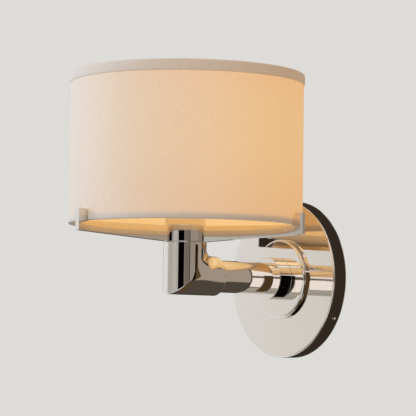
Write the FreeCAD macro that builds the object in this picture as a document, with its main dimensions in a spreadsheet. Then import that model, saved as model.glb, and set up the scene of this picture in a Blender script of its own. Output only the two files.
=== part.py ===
import FreeCAD, Part
import os
import Sketcher

# Fabric shade wall light, polished nickel bracket, in millimetres.
# Origin: centre of the wall face. +Y runs into the wall, -Y out into the room, +Z is up.
# Turned pieces are drawn as half profiles (radius, height). The pieces on the arm are turned
# so that their height runs out from the wall along -Y; the pieces on the upright keep +Z.

doc = FreeCAD.newDocument("wall_light")
sheet = doc.addObject("Spreadsheet::Sheet", "sizes")

DIMENSIONS = [
    # alias, value, what it is
    ("shade_dia", 183.4, "drum shade, outside of the linen"),
    ("shade_height", 119.2, "drum shade, top edge to bottom edge"),
    ("wall_gap", 20.9, "back of the linen to the wall"),
    ("plate_dia", 127.0, "round backplate, outside"),
    ("plate_depth", 13.0, "backplate, wall to front face"),
    ("plate_wall", 2.0, "backplate sheet"),
    ("plate_edge", 1.2, "radius on the backplate's front edge"),
    ("boss_dia", 64.4, "stepped disc on the backplate"),
    ("boss_depth", 3.9, "stepped disc, thickness"),
    ("boss_edge", 1.8, "bull-nose radius of the stepped disc"),
    ("collar_wall", 4.3, "collar round the arm's root, outside the tube"),
    ("collar_depth", 12.4, "collar length"),
    ("collar_edge", 0.5, "radius on the collar's front edge"),
    ("tube_dia", 25.4, "arm tube, one inch"),
    ("tube_wall", 1.6, "arm tube wall"),
    ("tube_socket", 8.0, "depth of the tube's seat in the elbow"),
    ("leg_wall", 2.8, "free end of the elbow's level leg, outside the tube"),
    ("leg_step", 1.4, "upright leg and hub, radius beyond the level leg's end"),
    ("leg_reach", 29.7, "upright axis to the end of the level leg"),
    ("leg_land", 2.0, "straight round end of the level leg"),
    ("elbow_edge", 0.8, "radius on the level leg's end"),
    ("seam_edge", 0.3, "rounding where two polished pieces meet"),
    ("seam_height", 25.6, "arm axis up to the seam under the hub"),
    ("hub_height", 12.4, "hub, seam to the top of the arms"),
    ("arm_thick", 5.3, "shade holder arm, across its lower edge"),
    ("arm_draft", 1.2, "draft of the arm's sides, degrees"),
    ("arm_tip_depth", 7.2, "shade holder arm, depth at the tip"),
    ("tab_depth", 6.8, "upturned tab, along the arm"),
    ("tab_height", 9.4, "upturned tab, above the arm"),
    ("tab_fillet", 2.2, "inner corner between the arm and its tab"),
    ("tab_gap", 1.0, "hem to the inside of a tab"),
    ("seat_gap", 0.25, "hem's lower corner above the tab's inner corner"),
    ("holder_turn", -2.7, "turn of the three arms from straight ahead, degrees"),
    ("linen_thick", 0.5, "linen"),
    ("liner_thick", 0.5, "stiff translucent lining"),
    ("wire_dia", 3.0, "shade wires"),
    ("top_band", 8.6, "top binding, height"),
    ("hem_band", 5.0, "bottom hem, height"),
    ("binding_thick", 0.8, "top binding, folded"),
    ("hem_thick", 0.3, "bottom hem, folded"),
    ("rod_dia", 10.0, "threaded hollow rods"),
    ("rod_bore", 7.0, "wire way in the rods"),
    ("fit_gap", 0.05, "radial clearance of a rod or tube in its hole"),
    ("ring_gap", 2.0, "wall ring's flange to the inside of the backplate"),
    ("ring_wall", 1.5, "wall ring sheet"),
    ("ring_flange", 8.5, "wall ring flange"),
    ("ring_opening", 50.0, "wire opening in the wall ring"),
    ("slot_spacing", 79.0, "centres of the two box screw slots"),
    ("slot_length", 15.0, "box screw slot, end to end"),
    ("slot_width", 4.8, "box screw slot, across"),
    ("grub_dia", 4.0, "backplate set screws"),
    ("grub_level", 5.4, "set screw axis, out from the wall"),
    ("grub_sunk", 0.6, "set screw end below the rim"),
    ("grub_drive", 1.8, "depth of the set screw's drive"),
    ("grub_start", -30.0, "first set screw, degrees from level right"),
    ("rod_proud", 1.2, "rod end beyond its nut"),
    ("rod_grip", 10.0, "rod screwed into the elbow"),
    ("nut_flats", 15.0, "nuts on the rods, across flats"),
    ("nut_height", 4.5, "nuts on the rods"),
    ("washer_dia", 19.0, "washer under the arm nut"),
    ("washer_thick", 1.2, "washer under the arm nut"),
    ("ground_dia", 4.0, "ground screw shank"),
    ("ground_head", 8.0, "ground screw head"),
    ("ground_head_height", 2.4, "ground screw head"),
    ("ground_head_edge", 0.6, "rounding of the ground screw head"),
    ("ground_drop", 38.0, "ground screw below the centre"),
    ("cap_height", 14.0, "lamp socket cap"),
    ("cap_lap", 6.0, "shell pushed down into the cap"),
    ("shell_height", 38.0, "lamp socket shell above its cap"),
    ("shell_wall", 0.6, "lamp socket cap and shell"),
    ("sleeve_wall", 0.85, "insulating sleeve inside the shell"),
    ("sleeve_inset", 0.5, "sleeve's top below the shell's"),
    ("base_height", 12.0, "moulded base inside the socket"),
    ("screw_shell_dia", 27.6, "threaded shell, outside"),
    ("screw_shell_wall", 0.5, "threaded shell wall"),
    ("screw_shell_inset", 2.0, "threaded shell's top below the socket's"),
    ("screw_gap", 0.3, "bulb cap to threaded shell"),
    ("contact_dia", 6.0, "socket's centre contact"),
    ("contact_height", 1.6, "socket's centre contact"),
    ("bulb_dia", 48.0, "bulb globe"),
    ("bulb_swell", 20.0, "hollow curve between the bulb's neck and its globe"),
    ("bulb_neck_length", 9.4, "straight neck of the bulb above its cap"),
    ("bulb_cap_height", 25.0, "bulb screw cap with its tip contact"),
    ("bulb_cap_wall", 0.45, "bulb screw cap wall"),
    ("bulb_tip_dia", 9.0, "bulb tip contact"),
    ("bulb_tip_height", 1.5, "bulb tip contact"),
    ("bulb_glass_wall", 0.8, "bulb glass"),
    ("bulb_seat", 3.0, "bulb glass inside its cap"),
]

for row, (alias, value, words) in enumerate(DIMENSIONS, start=1):
    sheet.set("A%d" % row, words)
    sheet.set("B%d" % row, "%g" % value)
    sheet.setAlias("B%d" % row, alias)

# Heights and radii that several pieces share, worked out in the sheet.
DERIVED = [
    ("linen_rad", "=shade_dia / 2"),
    ("wall_reach", "=linen_rad + wall_gap"),
    ("plate_rad", "=plate_dia / 2"),
    ("plate_inside", "=plate_depth - plate_wall"),
    ("collar_seat", "=plate_depth + boss_depth"),
    ("collar_front", "=collar_seat + collar_depth"),
    ("leg_end", "=wall_reach - leg_reach"),
    ("tube_end", "=leg_end + tube_socket"),
    ("tube_rad", "=tube_dia / 2"),
    ("collar_rad", "=tube_rad + collar_wall"),
    ("leg_end_rad", "=tube_rad + leg_wall"),
    ("upright_rad", "=leg_end_rad + leg_step"),
    ("rod_rad", "=rod_dia / 2"),
    ("rod_hole_rad", "=rod_rad + fit_gap"),
    ("arm_top", "=seam_height + hub_height"),
    ("corner_rise", "=tab_fillet - sqrt(tab_fillet ^ 2 - (tab_fillet - tab_gap) ^ 2)"),
    ("shade_bottom", "=arm_top + corner_rise + seat_gap"),
    ("shade_top", "=shade_bottom + shade_height"),
    ("liner_rad", "=linen_rad - linen_thick"),
    ("shade_inside", "=liner_rad - liner_thick"),
    ("wire_rad", "=wire_dia / 2"),
    ("wire_inside", "=shade_inside - wire_dia - 2 * fit_gap"),
    ("binding_inside", "=wire_inside - hem_thick"),
    ("tab_inside", "=linen_rad + hem_thick + tab_gap"),
    ("tab_outside", "=tab_inside + tab_depth"),
    ("ring_rad", "=plate_rad - plate_wall - ring_gap"),
    ("grub_rad", "=grub_dia / 2"),
    ("nut_level", "=plate_inside - washer_thick - nut_height"),
    ("leg_start", "=1.3 * upright_rad"),
    ("mitre_angle", "=atan(leg_end_rad / upright_rad)"),
    ("mitre_block", "=6 * upright_rad"),
    ("arm_root", "=sqrt(upright_rad ^ 2 - (arm_thick / 2) ^ 2)"),
    ("flank_rise", "=hub_height + tab_height + 1"),
    ("screw_shell_rad", "=screw_shell_dia / 2"),
    ("sleeve_inside", "=screw_shell_rad + fit_gap"),
    ("sleeve_rad", "=sleeve_inside + sleeve_wall"),
    ("shell_rad", "=sleeve_rad + fit_gap + shell_wall"),
    ("socket_rad", "=shell_rad + fit_gap + shell_wall"),
    ("cap_top", "=arm_top + cap_height"),
    ("socket_top", "=cap_top + shell_height"),
    ("base_bottom", "=arm_top + shell_wall + nut_height + rod_proud + fit_gap"),
    ("base_top", "=base_bottom + base_height"),
    ("bulb_bottom", "=base_top + contact_height + screw_gap"),
    ("bulb_cap_foot", "=bulb_bottom + 3 * bulb_tip_height"),
    ("bulb_cap_top", "=bulb_bottom + bulb_cap_height"),
    ("bulb_cap_rad", "=screw_shell_rad - screw_shell_wall - screw_gap"),
    ("neck_rad", "=bulb_cap_rad - bulb_cap_wall - fit_gap"),
    ("neck_inside", "=neck_rad - bulb_glass_wall"),
    ("globe_rad", "=bulb_dia / 2"),
    ("globe_inside", "=globe_rad - bulb_glass_wall"),
    ("swell_out", "=neck_rad + bulb_swell"),
    ("swell_level", "=bulb_cap_top + bulb_neck_length"),
    ("globe_reach", "=globe_rad + bulb_swell"),
    ("globe_rise", "=sqrt(globe_reach ^ 2 - swell_out ^ 2)"),
    ("globe_level", "=swell_level + globe_rise"),
]
for row, (alias, formula) in enumerate(DERIVED, start=len(DIMENSIONS) + 2):
    sheet.set("A%d" % row, alias.replace("_", " "))
    sheet.set("B%d" % row, formula)
    sheet.setAlias("B%d" % row, alias)
doc.recompute()

parts = []


def size(alias):
    """The sheet's present value of one alias."""
    return float(sheet.get(alias))


def formula(words):
    """Write each alias in a formula as a reference to the sheet."""
    names = sorted((name for name, *_ in DIMENSIONS + DERIVED), key=len, reverse=True)
    out, i = "", 0
    while i < len(words):
        if words[i].isalpha():
            j = i
            while j < len(words) and (words[j].isalnum() or words[j] == "_"):
                j += 1
            word = words[i:j]
            out += "sizes." + word if word in names else word
            i = j
        else:
            out += words[i]
            i += 1
    return out


def origin_plane(body, role):
    """One of a body's own origin planes or axes."""
    return next(item for item in body.Origin.OriginFeatures if item.Role == role)


def new_body(label):
    """An empty body with its own label, kept for export."""
    body = doc.addObject("PartDesign::Body", label)
    body.Label = label
    return body


def place(item, y="0", z="0", axis=(0, 0, 1), angle="0"):
    """Bind a piece's whole placement: an offset, and a turn about one axis in degrees."""
    words = "placement(vector(0; %s; %s); rotation(vector(%g; %g; %g); %s))" % (y, z, *axis, angle)
    item.setExpression("Placement", formula(words))
    return item


def on_arm(item, angle="0", z="0"):
    """Lay a piece along the arm: its height runs out from the wall."""
    words = "placement(vector(0; 0; %s); rotation(vector(1; 0; 0); 90) * rotation(vector(0; 0; 1); %s))"
    item.setExpression("Placement", formula(words % (z, angle)))
    return item


def on_upright(item, angle="0"):
    """Stand a piece on the upright axis of the shade."""
    return place(item, y="-wall_reach", angle=angle)


def plane_sketch(body, plane, name):
    """An empty sketch on one of a body's own origin planes."""
    sketch = body.newObject("Sketcher::SketchObject", name)
    sketch.AttachmentSupport = [(origin_plane(body, plane), "")]
    sketch.MapMode = "FlatFace"
    return sketch


def hold(sketch, kind, where, word):
    """Add one dimension to a sketch and bind it to a formula."""
    index = sketch.addConstraint(Sketcher.Constraint(kind, *where, evaluate(word)))
    sketch.setExpression("Constraints[%d]" % index, formula(word))


def arc_between(start, end, radius, centre_x, centre_y):
    """The shorter arc from one corner to the next, about a centre."""
    centre = FreeCAD.Vector(evaluate(centre_x), evaluate(centre_y), 0)
    way = ((start + end) * 0.5 - centre).normalize()
    return Part.Arc(start, centre + way * evaluate(radius), end)


def outline(body, plane, points, name, arcs=None):
    """A closed outline on an origin plane, each corner held by two bound distances.

    arcs makes sides round: side number, then radius and centre as formulas."""
    arcs = arcs or {}
    sketch = plane_sketch(body, plane, name)
    corners = [FreeCAD.Vector(evaluate(x), evaluate(y), 0) for x, y in points]
    first = []
    for k, start in enumerate(corners):
        end = corners[(k + 1) % len(corners)]
        side = arc_between(start, end, *arcs[k]) if k in arcs else Part.LineSegment(start, end)
        sketch.addGeometry(side, False)
        # A sketch keeps its arcs anticlockwise, so an arc's first end can be its corner's other one.
        first.append(1 if sketch.getPoint(k, 1).distanceToPoint(start) < 0.001 else 2)
    for k in range(len(corners)):
        after = (k + 1) % len(corners)
        sketch.addConstraint(Sketcher.Constraint("Coincident", k, 3 - first[k], after, first[after]))
    for k, (x, y) in enumerate(points):
        hold(sketch, "DistanceX", (-1, 1, k, first[k]), x)
        hold(sketch, "DistanceY", (-1, 1, k, first[k]), y)
    for k, (radius, _, _) in arcs.items():
        hold(sketch, "Radius", (k,), radius)
    return sketch


def evaluate(words):
    """Work a formula out with the sheet's present values."""
    return float(sheet.evalExpression(formula(words)))


def turned(label, points, edges=(), arcs=None):
    """A turned piece: its half profile revolved about the body's Z axis.

    edges lists (radius, height, fillet) for circular edges to round, as formulas."""
    body = new_body(label)
    sketch = outline(body, "XZ_Plane", points, label + "_profile", arcs)
    turn = body.newObject("PartDesign::Revolution", label + "_turn")
    turn.Profile = sketch
    turn.ReferenceAxis = (sketch, ["V_Axis"])
    turn.Angle = 360
    doc.recompute()
    for number, (radius, height, fillet) in enumerate(edges):
        round_circle(body, "%s_round_%d" % (label, number), radius, height, fillet)
    return body


def round_circle(body, name, radius, height, fillet):
    """Round the circular edge of a turned body at one radius and height."""
    wanted = (evaluate(radius), evaluate(height))
    found = []
    for number, edge in enumerate(body.Shape.Edges, start=1):
        if not isinstance(edge.Curve, Part.Circle):
            continue
        here = edge.Curve.Center.sub(body.Placement.Base)
        if abs(edge.Curve.Radius - wanted[0]) < 0.01 and abs(here.z - wanted[1]) < 0.01:
            found.append("Edge%d" % number)
    sharp = body.Tip
    rounding = body.newObject("PartDesign::Fillet", name)
    rounding.Base = (sharp, found)
    rounding.setExpression("Radius", formula(fillet))
    doc.recompute()


def keep(item):
    """Put a piece on the list of exported pieces."""
    parts.append(item)
    return item


def cylinder(name, radius, height, **where):
    """A Part cylinder with bound sizes."""
    item = doc.addObject("Part::Cylinder", name)
    item.setExpression("Radius", formula(radius))
    item.setExpression("Height", formula(height))
    return place(item, **where)


def cut(name, base, tool):
    """A Part cut of one object by another."""
    item = doc.addObject("Part::Cut", name)
    item.Base = base
    item.Tool = tool
    return item


def fused(name, items):
    """A Part fuse of several objects."""
    item = doc.addObject("Part::MultiFuse", name)
    item.Shapes = items
    item.Refine = True
    return item


# The wall side: ring, backplate and what fastens them.

def screw_slot(number, side):
    """One obround cutter through the wall ring for a box screw."""
    half = "(slot_length - slot_width) / 2"
    centre = "%d * slot_spacing / 2" % side
    block = doc.addObject("Part::Box", "slot_block_%d" % number)
    block.setExpression("Length", formula("slot_length - slot_width"))
    block.setExpression("Width", formula("slot_width"))
    block.setExpression("Height", formula("ring_wall + 2"))
    corner = "placement(vector(%s - %s; -slot_width / 2; -1); rotation(vector(0; 0; 1); 0))"
    block.setExpression("Placement", formula(corner % (centre, half)))
    ends = []
    for end in (-1, 1):
        tool = cylinder("slot_end_%d_%d" % (number, end + 1), "slot_width / 2", "ring_wall + 2")
        spot = "placement(vector(%s + %d * %s; 0; -1); rotation(vector(0; 0; 1); 0))"
        tool.setExpression("Placement", formula(spot % (centre, end, half)))
        ends.append(tool)
    return fused("slot_%d" % number, [block] + ends)


ring_blank = turned("wall_ring_blank", [
    ("ring_opening / 2", "0"),
    ("ring_rad", "0"),
    ("ring_rad", "ring_flange"),
    ("ring_rad - ring_wall", "ring_flange"),
    ("ring_rad - ring_wall", "ring_wall"),
    ("ring_opening / 2", "ring_wall"),
])
ground_hole = cylinder("ground_hole", "ground_dia / 2 + fit_gap", "ring_wall + 2", y="-ground_drop", z="-1")
ring_cutters = fused("ring_cutters", [screw_slot(1, -1), screw_slot(2, 1), ground_hole])
keep(on_arm(cut("wall_ring", ring_blank, ring_cutters)))

ground_screw = turned("ground_screw", [
    ("0", "fit_gap"),
    ("ground_dia / 2", "fit_gap"),
    ("ground_dia / 2", "ring_wall"),
    ("ground_head / 2", "ring_wall"),
    ("ground_head / 2", "ring_wall + ground_head_height"),
    ("0", "ring_wall + ground_head_height"),
], edges=[("ground_head / 2", "ring_wall + ground_head_height", "ground_head_edge")])
keep(on_arm(ground_screw, z="-ground_drop"))


def round_sketch(body, name, plane, radius, height):
    """A bound circle centred above the origin of one of the body's planes."""
    sketch = plane_sketch(body, plane, name)
    centre = FreeCAD.Vector(0, evaluate(height), 0)
    sketch.addGeometry(Part.Circle(centre, FreeCAD.Vector(0, 0, 1), evaluate(radius)), False)
    sketch.addConstraint(Sketcher.Constraint("PointOnObject", 0, 3, -2))
    hold(sketch, "Radius", (0,), radius)
    hold(sketch, "DistanceY", (-1, 1, 0, 3), height)
    return sketch


def three_round(body, name, originals):
    """Repeat features three times round the body's Z axis."""
    pattern = body.newObject("PartDesign::PolarPattern", name)
    pattern.Originals = originals
    pattern.Axis = (origin_plane(body, "Z_Axis"), [""])
    pattern.Angle = 360
    pattern.Occurrences = 3
    body.Tip = pattern
    doc.recompute()
    return pattern


backplate = turned("backplate", [
    ("rod_hole_rad", "plate_inside"),
    ("plate_rad - plate_wall", "plate_inside"),
    ("plate_rad - plate_wall", "0"),
    ("plate_rad", "0"),
    ("plate_rad", "plate_depth"),
    ("rod_hole_rad", "plate_depth"),
], edges=[("plate_rad", "plate_depth", "plate_edge")])
screw_hole = backplate.newObject("PartDesign::Pocket", "set_screw_hole")
screw_hole.Profile = round_sketch(backplate, "set_screw_spot", "YZ_Plane", "grub_rad + fit_gap", "grub_level")
screw_hole.setExpression("Length", formula("plate_rad + 1"))
screw_hole.Reversed = True
doc.recompute()
three_round(backplate, "set_screw_holes", [screw_hole])
keep(on_arm(backplate, angle="grub_start"))

grubs = new_body("backplate_set_screws")
grub_spot = round_sketch(grubs, "set_screw_end", "YZ_Plane", "grub_rad", "grub_level")
grub_spot.setExpression("AttachmentOffset.Base.z", formula("ring_rad"))
grub = grubs.newObject("PartDesign::Pad", "set_screw")
grub.Profile = grub_spot
grub.setExpression("Length", formula("plate_rad - grub_sunk - ring_rad"))
doc.recompute()
drive_spot = round_sketch(grubs, "set_screw_drive_spot", "YZ_Plane", "grub_rad / 2", "grub_level")
drive_spot.setExpression("AttachmentOffset.Base.z", formula("plate_rad - grub_sunk - grub_drive"))
drive = grubs.newObject("PartDesign::Pocket", "set_screw_drive")
drive.Profile = drive_spot
drive.setExpression("Length", formula("grub_drive + 1"))
drive.Reversed = True
doc.recompute()
three_round(grubs, "set_screw_copies", [grub, drive])
keep(on_arm(grubs, angle="grub_start"))

# The stepped root of the arm, out from the backplate's face.

keep(on_arm(turned("boss_plate", [
    ("rod_hole_rad", "plate_depth"),
    ("boss_dia / 2", "plate_depth"),
    ("boss_dia / 2", "collar_seat"),
    ("rod_hole_rad", "collar_seat"),
], edges=[("boss_dia / 2", "collar_seat", "boss_edge")])))

keep(on_arm(turned("collar", [
    ("tube_rad + fit_gap", "collar_seat"),
    ("collar_rad", "collar_seat"),
    ("collar_rad", "collar_front"),
    ("tube_rad + fit_gap", "collar_front"),
], edges=[("collar_rad", "collar_front", "collar_edge"), ("collar_rad", "collar_seat", "seam_edge")])))

keep(on_arm(turned("arm_tube", [
    ("tube_rad - tube_wall", "collar_seat"),
    ("tube_rad", "collar_seat"),
    ("tube_rad", "tube_end"),
    ("tube_rad - tube_wall", "tube_end"),
])))

keep(on_arm(turned("arm_rod", [
    ("rod_bore / 2", "nut_level - rod_proud"),
    ("rod_rad", "nut_level - rod_proud"),
    ("rod_rad", "tube_end + rod_grip"),
    ("rod_bore / 2", "tube_end + rod_grip"),
])))

keep(on_arm(turned("arm_washer", [
    ("rod_hole_rad", "nut_level + nut_height"),
    ("washer_dia / 2", "nut_level + nut_height"),
    ("washer_dia / 2", "plate_inside"),
    ("rod_hole_rad", "plate_inside"),
])))


def hex_nut(label, level):
    """A hexagon nut on a threaded rod, its lower face at one level."""
    block = doc.addObject("Part::Prism", label + "_block")
    block.Polygon = 6
    block.setExpression("Circumradius", formula("nut_flats / 2 / cos(30)"))
    block.setExpression("Height", formula("nut_height"))
    place(block, z=level)
    bore = cylinder(label + "_bore", "rod_hole_rad", "nut_height + 2", z=level + " - 1")
    return cut(label, block, bore)


keep(on_arm(hex_nut("arm_nut", "nut_level")))

# The mitred elbow. Under the upright its level leg is an oval, as wide as the upright and as
# deep as the leg's own round end, so the two legs meet in a flat ellipse; beyond the upright
# the oval draws in to the round end.

def leg_section(kind, name, along, sizes_of):
    """One section across the level leg, at a distance out from the upright axis."""
    section = doc.addObject(kind, name)
    for side, words in sizes_of:
        section.setExpression(side, formula(words))
    return place(section, y=along, axis=(1, 0, 0), angle="270")


oval = [("MajorRadius", "upright_rad"), ("MinorRadius", "leg_end_rad")]
level_leg = doc.addObject("Part::Loft", "elbow_level_leg")
level_leg.Sections = [
    leg_section("Part::Ellipse", "leg_start_oval", "-leg_start", oval),
    leg_section("Part::Ellipse", "leg_last_oval", "upright_rad", oval),
    leg_section("Part::Circle", "leg_round", "leg_reach - leg_land", [("Radius", "leg_end_rad")]),
]
level_leg.Solid = True
level_leg.Ruled = True
level_end = turned("elbow_level_end", [
    ("0", "leg_reach - leg_land"),
    ("leg_end_rad", "leg_reach - leg_land"),
    ("leg_end_rad", "leg_reach"),
    ("0", "leg_reach"),
], edges=[("leg_end_rad", "leg_reach", "elbow_edge")])
place(level_end, axis=(1, 0, 0), angle="270")
upright_leg = turned("elbow_upright_leg", [
    ("0", "-leg_start"),
    ("upright_rad", "-leg_start"),
    ("upright_rad", "seam_height"),
    ("0", "seam_height"),
], edges=[("upright_rad", "seam_height", "seam_edge")])


def mitre_side(name, below):
    """A block with one face on the mitre plane."""
    block = doc.addObject("Part::Box", name)
    for side in ("Length", "Width", "Height"):
        block.setExpression(side, formula("mitre_block"))
    drop = "mitre_block * (%d)" % (-1 if below else 0)
    y = "-mitre_block / 2 * cos(mitre_angle) - %s * sin(mitre_angle)" % drop
    z = "-mitre_block / 2 * sin(mitre_angle) + %s * cos(mitre_angle)" % drop
    words = "placement(vector(-mitre_block / 2; %s; %s); rotation(vector(1; 0; 0); mitre_angle))"
    block.setExpression("Placement", formula(words % (y, z)))
    return block


def common(name, base, tool):
    """What two objects share."""
    item = doc.addObject("Part::Common", name)
    item.Base = base
    item.Tool = tool
    return item


elbow_blank = fused("elbow_blank", [
    common("elbow_upright", upright_leg, mitre_side("mitre_above", False)),
    common("elbow_level", level_leg, mitre_side("mitre_below", True)),
    level_end,
])
tube_seat = cylinder("tube_seat", "tube_rad + fit_gap", "tube_socket + 1",
                     y="leg_reach - tube_socket", axis=(1, 0, 0), angle="270")
level_thread = cylinder("level_thread", "rod_hole_rad", "rod_grip + 1",
                        y="leg_reach - tube_socket - rod_grip", axis=(1, 0, 0), angle="270")
level_way = cylinder("level_wire_way", "rod_bore / 2", "leg_reach - tube_socket",
                     axis=(1, 0, 0), angle="270")
upright_thread = cylinder("upright_thread", "rod_hole_rad", "rod_grip + 1", z="seam_height - rod_grip")
upright_way = cylinder("upright_wire_way", "rod_bore * 0.45", "seam_height + rod_bore", z="-rod_bore")
elbow_ways = fused("elbow_ways", [tube_seat, level_thread, level_way, upright_thread, upright_way])
keep(on_upright(cut("elbow", elbow_blank, elbow_ways)))

# The shade holder: a hub and three upright bars, each with an upturned tab.

holder = turned("shade_holder", [
    ("rod_hole_rad", "seam_height"),
    ("upright_rad", "seam_height"),
    ("upright_rad", "arm_top"),
    ("rod_hole_rad", "arm_top"),
], edges=[("upright_rad", "seam_height", "seam_edge")])


def arm_profile(body):
    """One arm seen from the side, with the rounded inner corner of its tab."""
    root = "upright_rad * 0.8"
    points = [
        (root, "seam_height"),
        ("upright_rad", "seam_height"),
        ("tab_outside", "arm_top - arm_tip_depth"),
        ("tab_outside", "arm_top + tab_height"),
        ("tab_inside", "arm_top + tab_height"),
        ("tab_inside", "arm_top + tab_fillet"),
        ("tab_inside - tab_fillet", "arm_top"),
        (root, "arm_top"),
    ]
    corner = ("tab_fillet", "tab_inside - tab_fillet", "arm_top + tab_fillet")
    return outline(body, "XZ_Plane", points, "arm_profile", arcs={5: corner})


arm = holder.newObject("PartDesign::Pad", "holder_arm")
arm.Profile = arm_profile(holder)
arm.Midplane = True
arm.setExpression("Length", formula("arm_thick"))
doc.recompute()


def flank_cut(body, side):
    """Draft one side of the arm: a wedge that widens upwards comes off it, from the hub out."""
    foot = "%d * arm_thick / 2" % side
    sketch = outline(body, "YZ_Plane", [
        (foot, "seam_height"),
        ("%s + %d" % (foot, side), "seam_height"),
        ("%s + %d" % (foot, side), "seam_height + flank_rise"),
        ("%s - %d * flank_rise * tan(arm_draft)" % (foot, side), "seam_height + flank_rise"),
    ], "arm_flank_%d" % (side + 1))
    sketch.setExpression("AttachmentOffset.Base.z", formula("arm_root"))
    wedge = body.newObject("PartDesign::Pocket", "arm_draft_%d" % (side + 1))
    wedge.Profile = sketch
    wedge.setExpression("Length", formula("tab_outside - arm_root + 1"))
    wedge.Reversed = True
    doc.recompute()
    return wedge


three_round(holder, "holder_arms", [arm, flank_cut(holder, -1), flank_cut(holder, 1)])
keep(on_upright(holder, angle="270 + holder_turn"))

keep(on_upright(turned("hub_rod", [
    ("rod_bore / 2", "seam_height - rod_grip"),
    ("rod_rad", "seam_height - rod_grip"),
    ("rod_rad", "arm_top + shell_wall + nut_height + rod_proud"),
    ("rod_bore / 2", "arm_top + shell_wall + nut_height + rod_proud"),
])))
keep(on_upright(hex_nut("hub_nut", "arm_top + shell_wall")))

# The lamp socket, from its metal skin inwards.

keep(on_upright(turned("socket_cap", [
    ("rod_hole_rad", "arm_top"),
    ("socket_rad", "arm_top"),
    ("socket_rad", "cap_top"),
    ("socket_rad - shell_wall", "cap_top"),
    ("socket_rad - shell_wall", "arm_top + shell_wall"),
    ("rod_hole_rad", "arm_top + shell_wall"),
], edges=[("socket_rad", "arm_top", "shell_wall * 0.9")])))

keep(on_upright(turned("socket_shell", [
    ("shell_rad - shell_wall", "cap_top - cap_lap"),
    ("shell_rad", "cap_top - cap_lap"),
    ("shell_rad", "socket_top"),
    ("shell_rad - shell_wall", "socket_top"),
])))

keep(on_upright(turned("socket_sleeve", [
    ("sleeve_inside", "base_bottom"),
    ("sleeve_rad", "base_bottom"),
    ("sleeve_rad", "socket_top - sleeve_inset"),
    ("sleeve_inside", "socket_top - sleeve_inset"),
])))

keep(on_upright(turned("socket_base", [
    ("0", "base_bottom"),
    ("sleeve_inside - fit_gap", "base_bottom"),
    ("sleeve_inside - fit_gap", "base_top"),
    ("0", "base_top"),
])))

keep(on_upright(turned("socket_screw_shell", [
    ("contact_dia", "base_top"),
    ("screw_shell_rad", "base_top"),
    ("screw_shell_rad", "socket_top - screw_shell_inset"),
    ("screw_shell_rad - screw_shell_wall", "socket_top - screw_shell_inset"),
    ("screw_shell_rad - screw_shell_wall", "base_top + screw_shell_wall"),
    ("contact_dia", "base_top + screw_shell_wall"),
])))

keep(on_upright(turned("socket_contact", [
    ("0", "base_top"),
    ("contact_dia / 2", "base_top"),
    ("contact_dia / 2", "base_top + contact_height"),
    ("0", "base_top + contact_height"),
], edges=[("contact_dia / 2", "base_top + contact_height", "contact_height * 0.3")])))

# The bulb.

keep(on_upright(turned("bulb_contact", [
    ("0", "bulb_bottom"),
    ("bulb_tip_dia / 2", "bulb_bottom"),
    ("bulb_tip_dia / 2", "bulb_bottom + bulb_tip_height"),
    ("0", "bulb_bottom + bulb_tip_height"),
], edges=[("bulb_tip_dia / 2", "bulb_bottom", "bulb_tip_height * 0.4")])))

keep(on_upright(turned("bulb_insulator", [
    ("0", "bulb_bottom + bulb_tip_height"),
    ("bulb_tip_dia / 2", "bulb_bottom + bulb_tip_height"),
    ("bulb_cap_rad * 0.75", "bulb_cap_foot"),
    ("0", "bulb_cap_foot"),
])))

keep(on_upright(turned("bulb_cap", [
    ("0", "bulb_cap_foot"),
    ("bulb_cap_rad * 0.75", "bulb_cap_foot"),
    ("bulb_cap_rad", "bulb_cap_foot + bulb_tip_height"),
    ("bulb_cap_rad", "bulb_cap_top"),
    ("neck_rad + fit_gap", "bulb_cap_top"),
    ("neck_rad + fit_gap", "bulb_cap_top - bulb_seat"),
    ("0", "bulb_cap_top - bulb_seat"),
])))


def globe_tangent(radius):
    """Where the hollow curve of the neck meets a sphere about the globe's centre."""
    return ("%s * swell_out / globe_reach" % radius,
            "globe_level - %s * globe_rise / globe_reach" % radius)


keep(on_upright(turned("bulb_glass", [
    ("neck_rad", "bulb_cap_top - bulb_seat"),
    ("neck_rad", "swell_level"),
    globe_tangent("globe_rad"),
    ("0", "globe_level + globe_rad"),
    ("0", "globe_level + globe_inside"),
    globe_tangent("globe_inside"),
    ("neck_inside", "swell_level"),
    ("neck_inside", "bulb_cap_top - bulb_seat"),
], arcs={
    1: ("bulb_swell", "swell_out", "swell_level"),
    2: ("globe_rad", "0", "globe_level"),
    4: ("globe_inside", "0", "globe_level"),
    5: ("bulb_swell + bulb_glass_wall", "swell_out", "swell_level"),
})))

# The drum shade: linen on a stiff lining, a wire top and bottom, and folded bindings.

keep(on_upright(turned("shade_linen", [
    ("liner_rad", "shade_bottom + hem_thick"),
    ("linen_rad", "shade_bottom + hem_thick"),
    ("linen_rad", "shade_top - binding_thick"),
    ("liner_rad", "shade_top - binding_thick"),
])))

keep(on_upright(turned("shade_liner", [
    ("shade_inside", "shade_bottom + hem_thick"),
    ("liner_rad", "shade_bottom + hem_thick"),
    ("liner_rad", "shade_top - binding_thick"),
    ("shade_inside", "shade_top - binding_thick"),
])))

keep(on_upright(turned("shade_top_binding", [
    ("binding_inside", "shade_top - top_band"),
    ("wire_inside", "shade_top - top_band"),
    ("wire_inside", "shade_top - binding_thick"),
    ("linen_rad", "shade_top - binding_thick"),
    ("linen_rad", "shade_top - top_band"),
    ("linen_rad + binding_thick", "shade_top - top_band"),
    ("linen_rad + binding_thick", "shade_top"),
    ("binding_inside", "shade_top"),
], edges=[("linen_rad + binding_thick", "shade_top", "binding_thick * 0.8")])))

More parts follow.
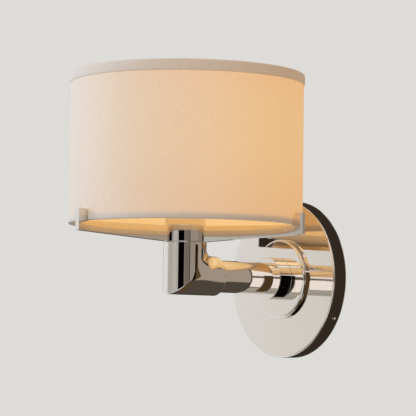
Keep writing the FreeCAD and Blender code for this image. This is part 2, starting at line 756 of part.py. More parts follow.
keep(on_upright(turned("shade_bottom_hem", [
    ("wire_inside - hem_thick", "shade_bottom"),
    ("linen_rad + hem_thick", "shade_bottom"),
    ("linen_rad + hem_thick", "shade_bottom + hem_band"),
    ("linen_rad", "shade_bottom + hem_band"),
    ("linen_rad", "shade_bottom + hem_thick"),
    ("wire_inside", "shade_bottom + hem_thick"),
    ("wire_inside", "shade_bottom + hem_band"),
    ("wire_inside - hem_thick", "shade_bottom + hem_band"),
])))


def wire_ring(label, level):
    """A round wire just inside the lining."""
    ring = doc.addObject("Part::Torus", label)
    ring.setExpression("Radius1", formula("shade_inside - fit_gap - wire_rad"))
    ring.setExpression("Radius2", formula("wire_rad"))
    return keep(place(ring, y="-wall_reach", z=level))


wire_ring("shade_top_wire", "shade_top - binding_thick - fit_gap - wire_rad")
wire_ring("shade_bottom_wire", "shade_bottom + hem_thick + fit_gap + wire_rad")

# Checks, then one STEP file for each piece.

doc.recompute()
for item in doc.Objects:
    if "Invalid" in item.State or "Error" in item.State:
        raise RuntimeError("%s did not build: %s" % (item.Label, item.State))
os.makedirs("parts", exist_ok=True)
for item in parts:
    if item.Shape.isNull() or not item.Shape.isValid():
        raise RuntimeError("%s has no valid shape" % item.Label)
    item.Shape.exportStep("parts/%s.step" % item.Label)
    box = item.Shape.BoundBox
    print("%-22s solids %d volume %9.1f  x %7.2f %7.2f  y %7.2f %7.2f  z %7.2f %7.2f" % (
        item.Label, len(item.Shape.Solids), item.Shape.Volume,
        box.XMin, box.XMax, box.YMin, box.YMax, box.ZMin, box.ZMax))
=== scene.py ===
"""Fabric shade wall light: the cloth of the shade, the finish of every piece, light and camera."""

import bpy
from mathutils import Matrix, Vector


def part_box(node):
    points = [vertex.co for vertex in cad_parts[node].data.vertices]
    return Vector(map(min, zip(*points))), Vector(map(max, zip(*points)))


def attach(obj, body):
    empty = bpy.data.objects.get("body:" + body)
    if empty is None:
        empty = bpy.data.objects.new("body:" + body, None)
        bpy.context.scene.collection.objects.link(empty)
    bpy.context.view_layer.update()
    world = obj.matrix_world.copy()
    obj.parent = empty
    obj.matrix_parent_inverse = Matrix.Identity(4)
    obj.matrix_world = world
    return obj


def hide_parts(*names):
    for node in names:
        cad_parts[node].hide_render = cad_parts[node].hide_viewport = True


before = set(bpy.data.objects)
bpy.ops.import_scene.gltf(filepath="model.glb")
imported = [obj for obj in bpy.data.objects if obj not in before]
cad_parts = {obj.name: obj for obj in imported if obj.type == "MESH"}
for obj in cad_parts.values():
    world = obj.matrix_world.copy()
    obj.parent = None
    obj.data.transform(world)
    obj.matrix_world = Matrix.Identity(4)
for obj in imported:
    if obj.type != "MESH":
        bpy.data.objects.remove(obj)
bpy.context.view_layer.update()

import math

import bpy
import numpy as np
from mathutils import Matrix, Vector

scene = bpy.context.scene
MM = 0.001

# The upright axis of the shade, and the shade's own levels and radii, read from the solids.
LINEN_LOW, LINEN_HIGH = (np.array(corner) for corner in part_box("shade_linen"))
HEM_LOW, HEM_HIGH = (np.array(corner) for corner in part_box("shade_bottom_hem"))
BAND_LOW, BAND_HIGH = (np.array(corner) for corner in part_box("shade_top_binding"))
AXIS = (LINEN_LOW[:2] + LINEN_HIGH[:2]) / 2
LINEN_RADIUS = (LINEN_HIGH[0] - LINEN_LOW[0]) / 2
BAND_RADIUS = (BAND_HIGH[0] - BAND_LOW[0]) / 2
HEM_RADIUS = (HEM_HIGH[0] - HEM_LOW[0]) / 2
RIM, TOP = HEM_LOW[2], BAND_HIGH[2]
LINEN_THICK = 0.5 * MM
FOLD_INSIDE = 87.35 * MM
SEAM_ANGLE = math.radians(118)
LAP = 9 * MM

# Where the lamp's glow is strongest: a unit direction, roughly away from the window light.
LAMP_SIDE = (0.883, 0.469, 0.0)

# Real threads lie about 0.5 mm apart. They are drawn 1.1 mm apart, which the render just holds.
THREAD_PITCH = 1.1 * MM

# The elbow's bores in millimetres: its threaded holes and the tube's seat.
HOLE_RADIUS, HOLE_DEPTH = 5.05, 10.05
SEAT_RADIUS, SEAT_DEPTH = 12.75, 8.0

# The stage: the backdrop's tone, and sizes in metres.
BACKDROP_TONE = "#DEDCD8"
FLOOR_DROP, FLOOR_RADIUS = 1.9, 1.6
DOME_RADIUS = 1.5


# Surfaces


def skin(name, points, uv=None, wrap=(False, False), ends=False):
    """Quads through a grid of points, shape (rows, columns, 3).

    wrap joins the last row or column to the first, and ends closes the first and last row, each
    with one flat face. uv gives each quad corner its place on the cloth in metres, shape
    (quad rows + 1, quad columns + 1, 2)."""
    rows, columns = points.shape[:2]
    high = rows if wrap[0] else rows - 1
    wide = columns if wrap[1] else columns - 1
    i, j = np.meshgrid(np.arange(high), np.arange(wide), indexing="ij")
    up = np.stack([i, i, i + 1, i + 1], -1)
    along = np.stack([j, j + 1, j + 1, j], -1)
    faces = (up % rows) * columns + along % columns
    mesh = bpy.data.meshes.new(name)
    mesh.vertices.add(rows * columns)
    mesh.vertices.foreach_set("co", points.astype(np.float32).ravel())
    corners, starts = faces.ravel(), np.arange(0, faces.size, 4)
    if ends:
        caps = np.concatenate([np.arange(columns)[::-1], np.arange(columns) + (rows - 1) * columns])
        starts = np.concatenate([starts, [corners.size, corners.size + columns]])
        corners = np.concatenate([corners, caps])
    mesh.loops.add(corners.size)
    mesh.loops.foreach_set("vertex_index", corners.astype(np.int32))
    mesh.polygons.add(starts.size)
    mesh.polygons.foreach_set("loop_start", starts.astype(np.int32))
    if uv is not None:
        mesh.uv_layers.new(name="cloth").data.foreach_set("uv", uv[up, along].astype(np.float32).ravel())
    mesh.update(calc_edges=True)
    mesh.validate()
    mesh.shade_smooth()
    piece = bpy.data.objects.new(name, mesh)
    scene.collection.objects.link(piece)
    return piece


def wander(angle, seed, reach, waves=(3, 5, 8, 13, 21)):
    """A gentle unevenness round the drum: a sum of sines with set phases, each higher one smaller."""
    phase = np.random.default_rng(seed).uniform(0, 2 * np.pi, len(waves))
    total = sum(np.sin(n * angle + p) / math.sqrt(n) for n, p in zip(waves, phase))
    return reach * total / 1.6


def lap_step(angle, height):
    """How far the cloth stands out at its glued lap: a sharp edge, then a slope back over the lap."""
    past = np.mod(angle - SEAM_ANGLE, 2 * np.pi) * LINEN_RADIUS
    edge = np.clip(past / (0.5 * MM), 0, 1)
    slope = np.clip(1 - (past - LAP) / (6 * MM), 0, 1)
    return height * edge * slope


def cut_corners(path, times):
    """Rounds an open path by replacing each corner with the quarter points of its two sides."""
    for _ in range(times):
        near, far = path[:-1] * 0.75 + path[1:] * 0.25, path[:-1] * 0.25 + path[1:] * 0.75
        inner = np.stack([near, far], 1).reshape(-1, path.shape[1])
        path = np.concatenate([path[:1], inner[1:-1], path[-1:]])
    return path


def tape_profile(path):
    """The closed outline of a folded tape: a path of (radius, height, thickness), offset to each side
    of itself by half the thickness."""
    centre, thick = path[:, :2], path[:, 2:]
    way = np.gradient(centre, axis=0)
    side = np.stack([way[:, 1], -way[:, 0]], 1) / np.linalg.norm(way, axis=1, keepdims=True)
    return np.concatenate([centre + side * thick / 2, (centre - side * thick / 2)[::-1]])


def ring(name, profile, columns, shift):
    """A closed (radius, height) profile carried round the shade's axis.

    shift(angle, radius, height) gives the change of radius and height at each place, so the cloth
    can wander. The uv runs round the drum and up it, in metres."""
    angle = np.linspace(0, 2 * np.pi, columns, endpoint=False)[None, :]
    out, rise = shift(angle, profile[:, :1], profile[:, 1:])
    radius, height = profile[:, :1] + out, profile[:, 1:] + rise
    points = np.stack(np.broadcast_arrays(
        AXIS[0] + radius * np.cos(angle), AXIS[1] + radius * np.sin(angle), height), -1)
    closed = np.concatenate([profile, profile[:1]])
    length = np.concatenate([[0], np.cumsum(np.linalg.norm(np.diff(closed, axis=0), axis=1))])
    round_way = np.linspace(0, 2 * np.pi * LINEN_RADIUS, columns + 1)
    u, v = np.meshgrid(round_way, length)
    return skin(name, points[::-1], np.stack([u, v], -1)[::-1], wrap=(True, True))


def linen_drum():
    """The stretched cloth: a wall half a millimetre thick, its outside bulging a hair between the
    wires, with a lap down the back."""
    low, high = LINEN_LOW[2], LINEN_HIGH[2]
    levels = np.linspace(low, high, 31)
    outside = np.stack([np.full_like(levels, LINEN_RADIUS), levels], 1)
    inside = np.stack([np.full_like(levels, LINEN_RADIUS - LINEN_THICK), levels[::-1]], 1)
    profile = np.concatenate([outside, inside])

    def shift(angle, radius, height):
        middle = np.sin(np.pi * np.clip((height - low) / (high - low), 0, 1))
        slack = wander(angle, 4, 0.06 * MM) * middle
        lap = lap_step(angle, 0.4 * MM) * (radius > LINEN_RADIUS - 0.1 * MM)
        return slack + lap, np.zeros_like(angle) * height

    return ring("shade_linen_cloth", profile, 480, shift)


def top_binding():
    """The folded tape over the top wire: a proud outer leg, a rounded fold and a thin inner leg."""
    outer = BAND_RADIUS - 0.4 * MM
    foot = BAND_LOW[2]
    path = np.array([
        (outer - 0.3 * MM, foot, 0.2 * MM),
        (outer - 0.08 * MM, foot + 0.7 * MM, 0.64 * MM),
        (outer, foot + 2.5 * MM, 0.8 * MM),
        (outer + 0.02 * MM, TOP - 2.5 * MM, 0.8 * MM),
        (outer, TOP - 0.42 * MM, 0.8 * MM),
        (outer - 2.4 * MM, TOP - 0.4 * MM, 0.8 * MM),
        (FOLD_INSIDE + 0.1 * MM, TOP - 0.42 * MM, 0.7 * MM),
        (FOLD_INSIDE + 0.15 * MM, TOP - 3.0 * MM, 0.4 * MM),
        (FOLD_INSIDE + 0.15 * MM, foot, 0.3 * MM),
    ])

    def shift(angle, radius, height):
        down = np.clip((TOP - height) / (TOP - foot), 0, 1)
        lap = lap_step(angle + 0.2, 0.35 * MM)
        return wander(angle, 7, 0.05 * MM) + lap * (radius > outer), wander(angle, 9, 0.12 * MM) * down ** 2

    return ring("shade_top_tape", tape_profile(cut_corners(path, 3)), 360, shift)


def bottom_hem():
    """The cloth turned under the bottom wire: it thins away up the outside, so its edge is soft."""
    leg = HEM_HIGH[2]
    path = np.array([
        (LINEN_RADIUS + 0.03 * MM, leg, 0.06 * MM),
        (LINEN_RADIUS + 0.08 * MM, leg - 1.5 * MM, 0.14 * MM),
        (HEM_RADIUS - 0.15 * MM, RIM + 1.4 * MM, 0.3 * MM),
        (HEM_RADIUS - 0.35 * MM, RIM + 0.15 * MM, 0.3 * MM),
        (HEM_RADIUS - 2.5 * MM, RIM + 0.15 * MM, 0.3 * MM),
        (FOLD_INSIDE + 0.1 * MM, RIM + 0.25 * MM, 0.3 * MM),
        (FOLD_INSIDE + 0.05 * MM, RIM + 2.0 * MM, 0.3 * MM),
        (FOLD_INSIDE + 0.05 * MM, leg, 0.3 * MM),
    ])

    def shift(angle, radius, height):
        rise = np.clip(wander(angle, 15, 0.06 * MM), 0, 1)
        return wander(angle, 12, 0.03 * MM) + 0 * height, rise + 0 * height

    return ring("shade_hem_cloth", tape_profile(cut_corners(path, 3)), 360, shift)


def elbow_casting():
    """The cast elbow, with its inner corner blended by hand buffing.

    A line at turn t of the upright runs down at (U cos t, U sin t), turns through an arc, and runs
    level to the round end of the leg, drawing in from U cos t to E cos t on the way at the height
    E sin t. The arc stays tight over the outside of the bend, grows by a smooth step towards its
    middle and draws in a little at the inner corner. The round end, both rims, the tube's seat and
    the two threaded holes are rings in line with it."""
    low, high = (np.array(corner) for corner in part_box("elbow"))
    wide, deep, seam, end = (high[0] - low[0]) / 2, -low[2], high[2], high[1]
    turn = np.linspace(0, 2 * np.pi, 192, endpoint=False)[None, :]
    cos, sin = np.cos(turn), np.sin(turn)
    inward = np.clip((sin + 0.5) / 0.75, 0, 1)
    blend = (0.6 + 9.2 * inward ** 2 * (3 - 2 * inward) - 3.5 * np.clip(sin - 0.1, 0, 1) ** 2) * MM
    # The top stands 0.2 mm below the hub, so the joint shows as a fine dark line.
    lip, rim, top = 0.05 * MM, 0.8 * MM, seam - 0.2 * MM

    def level_ring(radius, height):
        radius, height = np.array(radius)[:, None] * MM, np.array(height)[:, None]
        return AXIS[0] + radius * cos, AXIS[1] + radius * sin, height + 0 * cos

    def end_ring(radius, along):
        radius, along = np.array(radius)[:, None] * MM, np.array(along)[:, None]
        return AXIS[0] + radius * cos, along + 0 * cos, radius * sin

    quarter = np.linspace(0, np.pi / 2, 7)
    top_hole = level_ring([HOLE_RADIUS] * 2, [seam - HOLE_DEPTH * MM, top])
    top_lip = level_ring((wide - lip * (1 - np.sin(quarter))) / MM, top - lip * (1 - np.cos(quarter)))
    fall = np.linspace(0, 1, 30)[1:, None]
    foot = deep * sin + blend
    upright = (AXIS[0] + wide * cos + 0 * fall, AXIS[1] + wide * sin + 0 * fall,
               (top - lip) * (1 - fall) + foot * fall)
    bend = np.linspace(0, np.pi / 2, 26)[1:-1, None]
    corner = (AXIS[0] + wide * cos + 0 * bend, AXIS[1] + wide * sin + blend * (1 - np.cos(bend)),
              deep * sin + blend * (1 - np.sin(bend)))
    run = np.linspace(0, 1, 36)[:, None]
    start = AXIS[1] + wide * sin + blend
    draw = 1 - (1 - deep / wide) * run ** 2 * (3 - 2 * run)
    leg = (AXIS[0] + wide * cos * draw, start * (1 - run) + (end - rim) * run, deep * sin + 0 * run)
    end_rim = end_ring((deep - rim * (1 - np.cos(quarter[1:]))) / MM,
                       end - rim * (1 - np.sin(quarter[1:])))
    floor_of_seat = end - SEAT_DEPTH * MM
    seat = end_ring([SEAT_RADIUS, SEAT_RADIUS, HOLE_RADIUS, HOLE_RADIUS],
                    [end, floor_of_seat, floor_of_seat, end - (SEAT_DEPTH + HOLE_DEPTH) * MM])
    rings = [top_hole, top_lip, upright, corner, leg, end_rim, seat]
    points = np.concatenate([np.stack(np.broadcast_arrays(*part), -1) for part in rings])
    piece = skin("elbow_casting", points[::-1], wrap=(False, True), ends=True)
    piece.data.set_sharp_from_angle(angle=math.radians(40))
    return piece


# Materials


def colour(code):
    """An sRGB hex value as linear colour."""
    parts = np.array([int(code[i:i + 2], 16) for i in (1, 3, 5)]) / 255
    parts = np.where(parts <= 0.04045, parts / 12.92, ((parts + 0.055) / 1.055) ** 2.4)
    return (*(float(x) for x in parts), 1.0)


def add(tree, kind, inputs=(), **settings):
    """Adds one node: settings are its own properties, inputs its sockets, each a value or a socket
    to link from."""
    made = tree.nodes.new(kind)
    for name, value in settings.items():
        setattr(made, name, value)
    for socket, value in dict(inputs).items():
        if isinstance(value, bpy.types.NodeSocket):
            tree.links.new(value, made.inputs[socket])
        else:
            made.inputs[socket].default_value = value
    return made


def material(name, **sockets):
    """A material with one Principled shader: (material, its nodes, the shader)."""
    made = bpy.data.materials.new(name)
    made.use_nodes = True
    tree = made.node_tree
    shader = tree.nodes["Principled BSDF"]
    for socket, value in sockets.items():
        shader.inputs[socket.replace("_", " ")].default_value = value
    return made, tree, shader


def ramp(tree, factor, stops):
    """A colour ramp of (place, colour) stops."""
    made = add(tree, "ShaderNodeValToRGB", {"Fac": factor})
    elements = made.color_ramp.elements
    elements[0].position, elements[0].color = stops[0]
    elements[1].position, elements[1].color = stops[-1]
    for place, shade in stops[1:-1]:
        elements.new(place).color = shade
    return made.outputs["Color"]


def polished_nickel():
    """Nickel plate on brass, buffed to a mirror: warm white, with the faint drift of hand buffing."""
    made, tree, shader = material("polished_nickel", Metallic=1.0)
    place = add(tree, "ShaderNodeTexCoord").outputs["Object"]
    # Buffing leaves slow swells some 15 mm across and a haze about 2 mm across.
    swell = add(tree, "ShaderNodeTexNoise", {"Vector": place, "Scale": 66.0, "Detail": 1.0})
    haze = add(tree, "ShaderNodeTexNoise", {"Vector": place, "Scale": 500.0, "Detail": 3.0})
    tone = ramp(tree, haze.outputs["Fac"], [(0.3, colour("#E3DCD3")), (0.7, colour("#E7E0D8"))])
    tree.links.new(tone, shader.inputs["Base Color"])
    rough = add(tree, "ShaderNodeMapRange", {"Value": haze.outputs["Fac"], "To Min": 0.025, "To Max": 0.05})
    tree.links.new(rough.outputs["Result"], shader.inputs["Roughness"])
    bump = add(tree, "ShaderNodeBump", {"Height": swell.outputs["Fac"], "Strength": 0.02, "Distance": 0.001})
    tree.links.new(bump.outputs["Normal"], shader.inputs["Normal"])
    return made


def zinc_steel():
    """Zinc plated steel: bluish grey, dull, with the cloudy passivation of barrel plating."""
    made, tree, shader = material("zinc_steel", Metallic=1.0)
    place = add(tree, "ShaderNodeTexCoord").outputs["Object"]
    # The clouds are some 6 mm across.
    cloud = add(tree, "ShaderNodeTexNoise", {"Vector": place, "Scale": 160.0, "Detail": 4.0})
    tone = ramp(tree, cloud.outputs["Fac"], [(0.3, colour("#AFB2B1")), (0.7, colour("#CBCBC4"))])
    tree.links.new(tone, shader.inputs["Base Color"])
    rough = add(tree, "ShaderNodeMapRange", {"Value": cloud.outputs["Fac"], "To Min": 0.28, "To Max": 0.48})
    tree.links.new(rough.outputs["Result"], shader.inputs["Roughness"])
    return made


def stamped_brass():
    """Thin stamped brass, left bright: yellow, drawn smooth, a little tarnished."""
    made, tree, shader = material("stamped_brass", Metallic=1.0, Roughness=0.25)
    place = add(tree, "ShaderNodeTexCoord").outputs["Object"]
    # The tarnish lies in patches some 7 mm across.
    tarnish = add(tree, "ShaderNodeTexNoise", {"Vector": place, "Scale": 140.0, "Detail": 4.0})
    tone = ramp(tree, tarnish.outputs["Fac"], [(0.35, colour("#B08D4E")), (0.7, colour("#D9BC78"))])
    tree.links.new(tone, shader.inputs["Base Color"])
    return made


def moulded(name, dark, light, rough):
    """A moulded or pressed insulator: even colour, fine mottle, soft shine."""
    made, tree, shader = material(name, Roughness=rough)
    place = add(tree, "ShaderNodeTexCoord").outputs["Object"]
    # The mottle is about 1.4 mm across.
    mottle = add(tree, "ShaderNodeTexNoise", {"Vector": place, "Scale": 700.0, "Detail": 3.0})
    tone = ramp(tree, mottle.outputs["Fac"], [(0.3, colour(dark)), (0.7, colour(light))])
    tree.links.new(tone, shader.inputs["Base Color"])
    bump = add(tree, "ShaderNodeBump", {"Height": mottle.outputs["Fac"], "Strength": 0.1, "Distance": 0.0002})
    tree.links.new(bump.outputs["Normal"], shader.inputs["Normal"])
    return made


def weave(tree):
    """Plain linen weave from the cloth's uv in metres: (thread relief, slub tone), both from 0 to 1.

    The threads are two sine waves at right angles. The slubs are noise drawn out along each
    thread direction."""
    uv = add(tree, "ShaderNodeUVMap", uv_map="cloth").outputs["UV"]
    turn = 2 * math.pi / THREAD_PITCH
    apart = add(tree, "ShaderNodeSeparateXYZ", {"Vector": uv})
    waves = []
    for axis in ("X", "Y"):
        phase = add(tree, "ShaderNodeMath", {0: apart.outputs[axis], 1: turn}, operation="MULTIPLY")
        waves.append(add(tree, "ShaderNodeMath", {0: phase.outputs[0]}, operation="SINE").outputs[0])
    both = add(tree, "ShaderNodeMath", {0: waves[0], 1: waves[1]}, operation="MULTIPLY")
    relief = add(tree, "ShaderNodeMapRange", {"Value": both.outputs[0], "From Min": -1.0, "From Max": 1.0})
    # Slubs are some 0.7 mm thick and 6 to 8 mm long.
    slubs = []
    for stretch in ((1500, 130, 1), (180, 1500, 1)):
        along = add(tree, "ShaderNodeMapping", {"Vector": uv, "Scale": stretch})
        slubs.append(add(tree, "ShaderNodeTexNoise", {"Vector": along.outputs["Vector"], "Scale": 1.0,
                                                      "Detail": 2.0, "Roughness": 0.5}).outputs["Fac"])
    tone = add(tree, "ShaderNodeMath", {0: slubs[0], 1: slubs[1]}, operation="ADD")
    half = add(tree, "ShaderNodeMath", {0: tone.outputs[0], 1: 0.5}, operation="MULTIPLY")
    return relief.outputs["Result"], half.outputs[0]


def lamp_glow(tree, slub, low, high, least):
    """The lamp's light through the cloth: amber, palest at mid height, a little uneven with the
    slubs, and weaker on the side towards the window light, where daylight drowns it.

    low and high are the levels between which it rises from its least part to its full strength."""
    place = add(tree, "ShaderNodeTexCoord").outputs["Object"]
    level = add(tree, "ShaderNodeSeparateXYZ", {"Vector": place}).outputs["Z"]
    up = add(tree, "ShaderNodeMapRange", {"Value": level, "From Min": RIM, "From Max": TOP})
    amber = ramp(tree, up.outputs["Result"], [
        (0.0, colour("#F6AA3E")), (0.45, colour("#FFBA52")),
        (0.75, colour("#FFBA52")), (1.0, colour("#FFB046"))])
    out = add(tree, "ShaderNodeVectorMath", {0: place, 1: (AXIS[0], AXIS[1], 0.0)},
              operation="SUBTRACT")
    flat = add(tree, "ShaderNodeVectorMath", {0: out.outputs["Vector"], 1: (1.0, 1.0, 0.0)},
               operation="MULTIPLY")
    way = add(tree, "ShaderNodeVectorMath", {0: flat.outputs["Vector"]}, operation="NORMALIZE")
    lee = add(tree, "ShaderNodeVectorMath", {0: way.outputs["Vector"], 1: LAMP_SIDE},
              operation="DOT_PRODUCT")
    side = add(tree, "ShaderNodeMapRange", {
        "Value": lee.outputs["Value"], "From Min": -0.9, "From Max": 0.95, "To Min": 0.2, "To Max": 1.05})
    hem = add(tree, "ShaderNodeMapRange", interpolation_type="SMOOTHSTEP", inputs={
        "Value": level, "From Min": low, "From Max": high, "To Min": least})
    thread = add(tree, "ShaderNodeMapRange", {
        "Value": slub, "From Min": 0.35, "From Max": 0.65, "To Min": 0.97, "To Max": 1.03})
    both = add(tree, "ShaderNodeMath", {0: side.outputs["Result"], 1: hem.outputs["Result"]},
               operation="MULTIPLY")
    scale = add(tree, "ShaderNodeMath", {0: both.outputs[0], 1: thread.outputs["Result"]},
                operation="MULTIPLY")
    glow = add(tree, "ShaderNodeVectorMath", {0: amber, "Scale": scale.outputs[0]}, operation="SCALE")
    return glow.outputs["Vector"]


def lit_linen():
    """Ivory linen, plain weave, lit from behind: cloth in front light, amber where it glows through."""
    made, tree, shader = material("lit_linen", Roughness=0.9)
    relief, slub = weave(tree)
    tone = ramp(tree, slub, [
        (0.35, colour("#DAD2C7")), (0.5, colour("#DED8CD")), (0.65, colour("#E2DDD2"))])
    tree.links.new(tone, shader.inputs["Base Color"])
    # The turned hem is two cloths thick, so the glow fades over its top.
    glow = lamp_glow(tree, slub, RIM + 1.5 * MM, RIM + 7.0 * MM, 0.3)
    tree.links.new(glow, shader.inputs["Emission Color"])
    shader.inputs["Emission Strength"].default_value = 0.56
    bump = add(tree, "ShaderNodeBump", {"Height": relief, "Strength": 0.12, "Distance": 0.0003})
    tree.links.new(bump.outputs["Normal"], shader.inputs["Normal"])
    return made


def folded_tape():
    """The same linen cut on the straight and folded double: only a trace of light comes through."""
    made, tree, shader = material("folded_tape", Roughness=0.9)
    relief, slub = weave(tree)
    tone = ramp(tree, slub, [
        (0.35, colour("#DED5C8")), (0.5, colour("#E3DBCF")), (0.65, colour("#E8E1D6"))])
    tree.links.new(tone, shader.inputs["Base Color"])
    tree.links.new(lamp_glow(tree, slub, RIM, TOP, 1.0), shader.inputs["Emission Color"])
    shader.inputs["Emission Strength"].default_value = 0.22
    bump = add(tree, "ShaderNodeBump", {"Height": relief, "Strength": 0.15, "Distance": 0.0003})
    tree.links.new(bump.outputs["Normal"], shader.inputs["Normal"])
    return made


def lit_lining():
    """White styrene laminated to the cloth, lit by the bulb: brightest at the bulb's height."""
    made, tree, shader = material("lit_lining", Roughness=0.55)
    shader.inputs["Base Color"].default_value = colour("#E8D8BC")
    place = add(tree, "ShaderNodeTexCoord").outputs["Object"]
    height = add(tree, "ShaderNodeSeparateXYZ", {"Vector": place}).outputs["Z"]
    up = add(tree, "ShaderNodeMapRange", {"Value": height, "From Min": RIM, "From Max": TOP})
    glow = ramp(tree, up.outputs["Result"], [
        (0.0, colour("#D9A352")), (0.08, colour("#E4B56E")),
        (0.5, colour("#FFEBBE")), (1.0, colour("#EFC888"))])
    tree.links.new(glow, shader.inputs["Emission Color"])
    shader.inputs["Emission Strength"].default_value = 0.5
    return made


def lit_bulb():
    """Inside frosted glass with the lamp on."""
    made, tree, shader = material("lit_bulb", Roughness=0.35)
    shader.inputs["Base Color"].default_value = colour("#F7F1E4")
    place = add(tree, "ShaderNodeTexCoord").outputs["Object"]
    height = add(tree, "ShaderNodeSeparateXYZ", {"Vector": place}).outputs["Z"]
    low, high = (corner[2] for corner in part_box("bulb_glass"))
    up = add(tree, "ShaderNodeMapRange", {"Value": height, "From Min": low, "From Max": high})
    glow = ramp(tree, up.outputs["Result"], [
        (0.0, colour("#E8A95A")), (0.35, colour("#FFE0A8")), (1.0, colour("#FFF4D8"))])
    tree.links.new(glow, shader.inputs["Emission Color"])
    shader.inputs["Emission Strength"].default_value = 0.9
    return made


def plain_floor():
    """A matt pale floor: to the camera, metal and glass it glows up to the backdrop's tone, and it
    keeps the shadow."""
    made, tree, shader = material("plain_floor", Roughness=0.9)
    shader.inputs["Base Color"].default_value = colour("#E3E1DD")
    # Its lit colour is about half the backdrop's brightness, and the glow adds the other half.
    shader.inputs["Emission Color"].default_value = colour(BACKDROP_TONE)
    glow = add(tree, "ShaderNodeMath", {0: plainly_seen(tree), 1: 0.5}, operation="MULTIPLY")
    tree.links.new(glow.outputs[0], shader.inputs["Emission Strength"])
    return made


def plainly_seen(tree):
    """1 for camera, glossy and transmission rays, and 0 for the rays that light things."""
    path = add(tree, "ShaderNodeLightPath").outputs
    seen = add(tree, "ShaderNodeMath", {0: path["Is Camera Ray"], 1: path["Is Glossy Ray"]},
               operation="MAXIMUM")
    seen = add(tree, "ShaderNodeMath", {0: seen.outputs[0], 1: path["Is Transmission Ray"]},
               operation="MAXIMUM")
    return seen.outputs[0]


# Pieces

nickel, zinc, brass = polished_nickel(), zinc_steel(), stamped_brass()
phenolic = moulded("black_phenolic", "#141312", "#1F1D1B", 0.35)
fibre = moulded("pressed_fibre", "#3A2A20", "#4C3A2D", 0.75)
vitrite = moulded("black_vitrite", "#0B0B0D", "#15161A", 0.12)
green = moulded("green_zinc", "#1F5A34", "#2F7A48", 0.35)
coated = moulded("white_coated_wire", "#E3E0D8", "#EFECE4", 0.4)
linen, tape, lining, bulb = lit_linen(), folded_tape(), lit_lining(), lit_bulb()

FINISH = {
    nickel: ("backplate", "backplate_set_screws", "boss_plate", "collar", "arm_tube", "shade_holder",
             "socket_cap", "socket_shell"),
    zinc: ("wall_ring", "arm_rod", "arm_washer", "arm_nut", "hub_rod", "hub_nut", "bulb_cap",
           "bulb_contact"),
    brass: ("socket_screw_shell", "socket_contact"),
    phenolic: ("socket_base",),
    fibre: ("socket_sleeve",),
    vitrite: ("bulb_insulator",),
    green: ("ground_screw",),
    coated: ("shade_top_wire", "shade_bottom_wire"),
    lining: ("shade_liner",),
    bulb: ("bulb_glass",),
}
for finish, names in FINISH.items():
    for name in names:
        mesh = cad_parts[name].data
        mesh.materials.clear()
        mesh.materials.append(finish)

cloth, band, hem, casting = linen_drum(), top_binding(), bottom_hem(), elbow_casting()
for piece, finish, node, slot, body in (
    (cloth, linen, "shade_linen", "linen", "shade"),
    (band, tape, "shade_top_binding", "binding_tape", "shade"),
    (hem, linen, "shade_bottom_hem", "binding_tape", "shade"),
    (casting, nickel, "elbow", "polished_nickel", "bracket"),
):
    piece.data.materials.append(finish)
    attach(piece, body)
    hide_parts(node)


# Stage


def floor():
    """A plain round floor, well below the fixture."""
    angle = np.linspace(0, 2 * np.pi, 96, endpoint=False)[None, :]
    radius = np.array([[0.002], [FLOOR_RADIUS / 2], [FLOOR_RADIUS]])
    flat = np.zeros_like(radius * angle) - FLOOR_DROP
    points = np.stack([AXIS[0] + radius * np.cos(angle), AXIS[1] + radius * np.sin(angle), flat], -1)
    piece = skin("floor", points, wrap=(False, True))
    piece.data.materials.append(plain_floor())


def reflection_cards():
    """Studio cards round the fixture, on one dome that only the polished metal sees.

    Each card is a patch of azimuth and elevation with soft edges, laid over those before it:
    cover = smooth step across each of its four edges. Where no card stands, the dome is the tone
    of the pale backdrop."""
    azimuth, level = np.arange(-180, 180, 1.5)[None, :], np.arange(-88.5, 89, 1.5)[:, None]
    # From and to in azimuth, from and to in elevation, soft edge in degrees, colour, strength.
    cards = [
        (-46, 16, -90, 60, 4, "#BDBDBB", 1.0),     # grey card, front
        (-14, 5, -90, 60, 5, "#C9C9C8", 1.0),      # its lighter middle
        (-112, -52, -90, 60, 14, "#F2F5FB", 1.0),  # white card, far left, feathered into the grey
        (62, 128, -60, 60, 3, "#A29A90", 1.0),     # grey card, right
        (16, 128, -90, -14, 4, "#544D46", 1.0),    # dark cloth under it
        (16, 62, -50, 60, 3, "#FAFAFF", 1.4),      # softbox beside the camera
        (16, 48, -4, 9, 1.5, "#020202", 1.0),      # dark slot for the camera
        (48, 74, -4, 9, 1.5, "#7C746B", 1.0),      # dim grey beside it
        (74, 78, -4, 9, 1.5, "#3A342E", 1.0),      # a narrow gap between cards
        (115, 150, -90, 60, 3, "#AFA498", 1.0),    # warm grey card, far right
        (150, 252, -90, 90, 4, "#3A352F", 1.0),    # dark room behind
        (166, 206, -24, 60, 6, "#9A938A", 1.0),    # and a dim card in the middle of it
        (115, 240, -90, -29, 4, "#544D46", 1.0),   # dark floor cloth
    ]
    tone = np.ones((level.size, azimuth.size, 4)) * colour("#E6E4E0")

    def step(inside, soft):
        x = np.clip(inside / soft + 0.5, 0, 1)
        return x * x * (3 - 2 * x)

    for first, last, low, high, soft, code, strength in cards:
        apart = (azimuth - (first + last) / 2 + 180) % 360 - 180
        across = step((last - first) / 2 - np.abs(apart), soft)
        cover = across * step(level - low, soft) * step(high - level, soft)
        tone = tone + (np.array(colour(code)) * strength - tone) * cover[..., None]
    a, e = np.radians(azimuth), np.radians(level)
    centre_y, centre_z = -0.06, 0.03
    points = np.stack(np.broadcast_arrays(
        DOME_RADIUS * np.cos(e) * np.sin(a), centre_y - DOME_RADIUS * np.cos(e) * np.cos(a),
        centre_z + DOME_RADIUS * np.sin(e)), -1)
    seen_in_metal("reflection_cards", points, tone, (False, True))


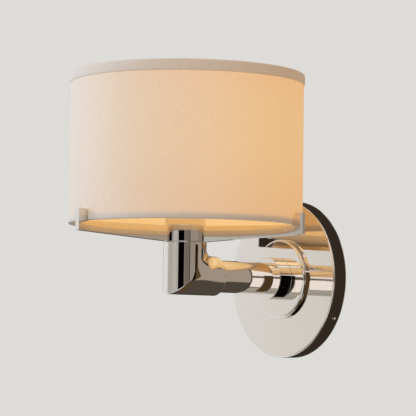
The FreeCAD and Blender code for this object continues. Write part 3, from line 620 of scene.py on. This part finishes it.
def dark_flag_and_wall_shadow():
    """A dark flag and a painted shadow close to the metal, seen only in it, which define its edges.

    One is a flat dark ring on the wall just outside the backplate, a painted shadow beside the
    backplate that shows only in the metal's reflections: radius from inner to outer. The other
    is part of a tube round the arm, from under it to a little above its right: one radius, black at
    the front and brown at the back."""
    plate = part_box("backplate")[1][0]
    inner, outer, off_wall, arm_radius = 0.5 * MM, 16.5 * MM, 0.02 * MM, 95 * MM
    angle = np.radians(np.arange(0, 360, 3))[None, :]
    radius = plate + np.array([inner, outer])[:, None]
    wall = np.stack([radius * np.cos(angle), 0 * radius * angle - off_wall, radius * np.sin(angle)], -1)
    # A painted shadow on the wall round the backplate: a dark ring that only the metal's reflections show.
    seen_in_metal("painted_wall_shadow", wall, np.ones((2, angle.size, 4)) * colour("#372F29"), (False, True))
    angle = np.radians(np.arange(-112, 20, 3))[None, :]
    along = np.array([-88, -70.5, -70, -52])[:, None] * MM
    round_arm = np.stack([
        arm_radius * np.cos(angle) + 0 * along, along + 0 * angle,
        arm_radius * np.sin(angle) + 0 * along], -1)
    tone = np.array([colour(code) for code in ("#050404", "#050404", "#5C4A30", "#5C4A30")])[:, None, :]
    seen_in_metal("arm_flag", round_arm, tone + np.zeros((4, angle.size, 4)), (False, False))


def seen_in_metal(name, points, tone, wrap):
    """A stage surface of plain colour, point by point, which only polished metal sees."""
    piece = skin(name, points, wrap=wrap)
    piece.data.color_attributes.new("card", "FLOAT_COLOR", "POINT").data.foreach_set(
        "color", tone.astype(np.float32).ravel())
    made = bpy.data.materials.new(name)
    made.use_nodes = True
    tree = made.node_tree
    tree.nodes.clear()
    card = add(tree, "ShaderNodeAttribute", attribute_name="card")
    shine = add(tree, "ShaderNodeEmission", {"Color": card.outputs["Color"], "Strength": 1.0})
    add(tree, "ShaderNodeOutputMaterial", {"Surface": shine.outputs["Emission"]})
    piece.data.materials.append(made)
    piece.visible_camera = piece.visible_diffuse = piece.visible_shadow = False
    piece.visible_transmission = False


def soft_light(name, azimuth, elevation, far, wide, level, tint):
    """A square soft light aimed at the shade. level is how bright it makes a white card that faces
    it."""
    a, e = math.radians(azimuth), math.radians(elevation)
    aim = Vector((AXIS[0], AXIS[1], 0.06))
    way = Vector((math.sin(a) * math.cos(e), -math.cos(a) * math.cos(e), math.sin(e)))
    data = bpy.data.lights.new(name, "AREA")
    data.shape, data.size = "SQUARE", wide
    data.energy = level * math.pi ** 2 * far ** 2
    data.color = colour(tint)[:3]
    lamp = bpy.data.objects.new(name, data)
    lamp.location = aim + way * far
    lamp.rotation_euler = way.to_track_quat("Z", "Y").to_euler()
    lamp.visible_glossy = False
    scene.collection.objects.link(lamp)


def surroundings():
    """A pale backdrop for what the camera, metal and glass see, and a dimmer one to light by."""
    world = bpy.data.worlds.new("pale_studio")
    world.use_nodes = True
    scene.world = world
    tree = world.node_tree
    tree.nodes.clear()
    light = add(tree, "ShaderNodeBackground", {"Color": colour("#FFFFFF"), "Strength": 0.3})
    backdrop = add(tree, "ShaderNodeBackground", {"Color": colour(BACKDROP_TONE), "Strength": 1.0})
    both = add(tree, "ShaderNodeMixShader", {
        0: plainly_seen(tree), 1: light.outputs[0], 2: backdrop.outputs[0]})
    add(tree, "ShaderNodeOutputWorld", {"Surface": both.outputs[0]})


def camera():
    """The photograph's camera: place and axes from a fit to the object's edges, a long lens with
    no shift."""
    right = Vector((0.61985, 0.78460, 0.01394)).normalized()
    forward = Vector((-0.78334, 0.61761, 0.07028)).normalized()
    up = right.cross(forward).normalized()
    data = bpy.data.cameras.new("camera")
    sensor_width, focal_pixels, frame_pixels = 36.0, 2077, 416
    data.sensor_width, data.lens = sensor_width, sensor_width * focal_pixels / frame_pixels
    data.clip_start, data.clip_end = 0.05, 60.0
    made = bpy.data.objects.new("camera", data)
    turn = Matrix((right, up, -forward)).transposed().to_4x4()
    made.matrix_world = Matrix.Translation((1.28707, -1.10501, -0.06169)) @ turn
    scene.collection.objects.link(made)
    scene.camera = made


floor()
reflection_cards()
dark_flag_and_wall_shadow()
surroundings()
soft_light("window_left", -54, 12, 2.4, 1.6, 0.6, "#D8E8FF")
soft_light("fill_front", 8, 28, 2.6, 1.6, 0.34, "#EEF4FF")
camera()
scene.view_settings.view_transform = "Standard"
